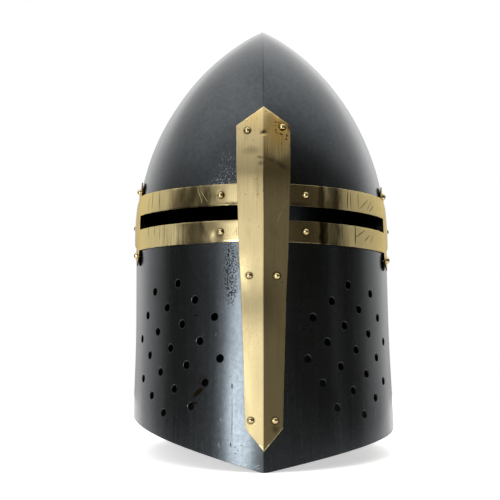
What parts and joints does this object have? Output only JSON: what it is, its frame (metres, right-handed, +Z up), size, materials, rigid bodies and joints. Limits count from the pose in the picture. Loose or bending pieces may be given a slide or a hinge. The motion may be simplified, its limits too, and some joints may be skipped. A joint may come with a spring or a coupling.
{
  "type": "crusader great helm",
  "caption": "Pointed great helm in blackened steel with a riveted brass cross of sight bands and nasal bar, punched breaths and an open hollow for the head.",
  "frame": {"origin": "middle of the bounding box at the surface that the helmet stands on", "axes": "+Z up, the keel and the sight face -Y, the wearer's left is +X"},
  "size_m": [0.2164, 0.2764, 0.348],
  "materials": {
    "black_steel": "oil-blackened, satin to half gloss",
    "yellow_brass": "brushed and aged"
  },
  "bodies": {
    "root": {"skull": "black_steel", "face_plate": "black_steel", "back_plate": "black_steel", "sight_band_left": "yellow_brass", "sight_band_right": "yellow_brass", "nasal_bar": "yellow_brass", "bar_rivet_top_left": "yellow_brass", "bar_rivet_top_right": "yellow_brass", "bar_rivet_middle_left": "yellow_brass", "bar_rivet_middle_right": "yellow_brass", "bar_rivet_low_left": "yellow_brass", "bar_rivet_low_right": "yellow_brass", "band_rivet_upper_left": "yellow_brass", "band_rivet_lower_left": "yellow_brass", "band_rivet_upper_right": "yellow_brass", "band_rivet_lower_right": "yellow_brass", "ear_rivet_upper_left": "yellow_brass", "ear_rivet_lower_left": "yellow_brass", "ear_rivet_upper_right": "yellow_brass", "ear_rivet_lower_right": "yellow_brass", "end_rivet_left": "yellow_brass", "end_rivet_right": "yellow_brass", "seam_rivet_left_1": "black_steel", "seam_rivet_left_2": "black_steel", "seam_rivet_left_3": "black_steel", "seam_rivet_right_1": "black_steel", "seam_rivet_right_2": "black_steel", "seam_rivet_right_3": "black_steel", "crown_rivet_left": "black_steel", "crown_rivet_right": "black_steel", "crown_rivet_back": "black_steel"}
  },
  "joints": []
}
